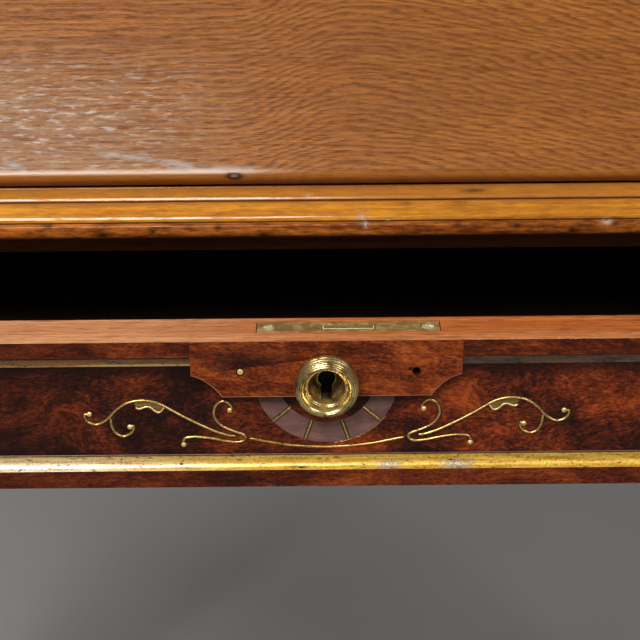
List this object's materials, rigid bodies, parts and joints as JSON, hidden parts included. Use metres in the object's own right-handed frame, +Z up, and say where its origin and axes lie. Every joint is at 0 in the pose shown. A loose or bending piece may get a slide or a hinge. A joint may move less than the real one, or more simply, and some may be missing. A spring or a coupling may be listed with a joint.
{
  "type": "slant-front secretary desk",
  "caption": "Slant-front writing desk with a pivoting fall over pigeonholes, moulded top, burl-veneered frieze drawer standing open with a brass ring keyhole, and turned legs.",
  "frame": {"origin": "on the floor, under the middle of the bounding box with the drawer standing open", "axes": "+Z up, +Y from the front of the desk to its back, +X to the right as seen from the front"},
  "size_m": [0.75, 0.5508, 0.9824],
  "materials": {
    "stand_walnut": "waxed, semi-gloss",
    "golden_walnut": "worn French polish, semi-gloss",
    "drawer_oak": "bare planed",
    "red_mahogany": "worn polish",
    "burl_veneer": "polished veneer",
    "crotch_mahogany": "polished",
    "grey_amaranth": "dulled inlay",
    "gilt": "worn gilding on wood",
    "brass": "aged brass",
    "writing_leather": "worn, matt"
  },
  "bodies": {
    "stand": {"leg_front_left": "stand_walnut", "leg_front_right": "stand_walnut", "leg_rear_left": "stand_walnut", "leg_rear_right": "stand_walnut", "rail_above_drawer": "stand_walnut", "rail_below_drawer": "stand_walnut", "frieze_left": "stand_walnut", "frieze_right": "stand_walnut", "frieze_back": "stand_walnut", "stretcher_left": "stand_walnut", "stretcher_right": "stand_walnut", "stretcher_cross": "stand_walnut", "case_back": "stand_walnut", "table_top": "golden_walnut", "case_side_left": "golden_walnut", "case_side_right": "golden_walnut", "case_top": "golden_walnut", "writing_bed": "golden_walnut", "pigeonhole_divider_left": "golden_walnut", "pigeonhole_divider_right": "golden_walnut", "pigeonhole_shelf_left": "golden_walnut", "pigeonhole_shelf_right": "golden_walnut", "drawer_guide_left": "drawer_oak", "drawer_guide_right": "drawer_oak"},
    "fall": {"fall_board": "golden_walnut", "fall_panel": "burl_veneer", "fall_escutcheon": "brass", "fall_lock": "brass", "fall_pivot_pin_left": "brass", "fall_pivot_pin_right": "brass", "fall_leather": "writing_leather"},
    "loper_left": {"loper_left": "golden_walnut", "loper_knob_left": "brass"},
    "loper_right": {"loper_right": "golden_walnut", "loper_knob_right": "brass"},
    "drawer": {"drawer_side_left": "drawer_oak", "drawer_side_right": "drawer_oak", "drawer_back": "drawer_oak", "drawer_bottom": "drawer_oak", "drawer_front": "red_mahogany", "drawer_burl_panel": "burl_veneer", "drawer_tablet": "crotch_mahogany", "drawer_fan_inlay": "grey_amaranth", "drawer_gilt_cove_upper_left": "gilt", "drawer_gilt_cove_upper_right": "gilt", "drawer_gilt_cove_lower": "gilt", "drawer_escutcheon": "brass", "drawer_lock": "brass", "drawer_lock_screw_left": "brass", "drawer_lock_screw_right": "brass", "tablet_pin": "brass"},
    "letter_drawer_left": {"letter_drawer_tray_left": "drawer_oak", "letter_drawer_front_left": "crotch_mahogany", "letter_drawer_knob_left": "brass"},
    "letter_drawer_right": {"letter_drawer_tray_right": "drawer_oak", "letter_drawer_front_right": "crotch_mahogany", "letter_drawer_knob_right": "brass"},
    "drawer_bolt": {"drawer_lock_bolt": "brass"},
    "fall_bolt": {"fall_lock_bolt": "brass"}
  },
  "joints": [
    {"name": "drawer_slide", "type": "slide", "parent": "stand", "child": "drawer", "axis": [0, -1, 0], "range_m": [-0.097, 0.2]},
    {"name": "drawer_bolt_slide", "type": "slide", "parent": "drawer", "child": "drawer_bolt", "axis": [0, 0, 1], "range_m": [0, 0.007]},
    {"name": "fall_hinge", "type": "hinge", "parent": "stand", "child": "fall", "pos_m": [0, -0.1805, 0.7278], "axis": [1, 0, 0], "range_deg": [0, 130]},
    {"name": "fall_bolt_slide", "type": "slide", "parent": "fall", "child": "fall_bolt", "axis": [0, 0.6428, 0.766], "range_m": [0, 0.008]},
    {"name": "loper_slide_left", "type": "slide", "parent": "stand", "child": "loper_left", "axis": [0, -1, 0], "range_m": [0, 0.19]},
    {"name": "loper_slide_right", "type": "slide", "parent": "stand", "child": "loper_right", "axis": [0, -1, 0], "range_m": [0, 0.19]},
    {"name": "letter_drawer_slide_left", "type": "slide", "parent": "stand", "child": "letter_drawer_left", "axis": [0, -1, 0], "range_m": [0, 0.14]},
    {"name": "letter_drawer_slide_right", "type": "slide", "parent": "stand", "child": "letter_drawer_right", "axis": [0, -1, 0], "range_m": [0, 0.14]}
  ]
}
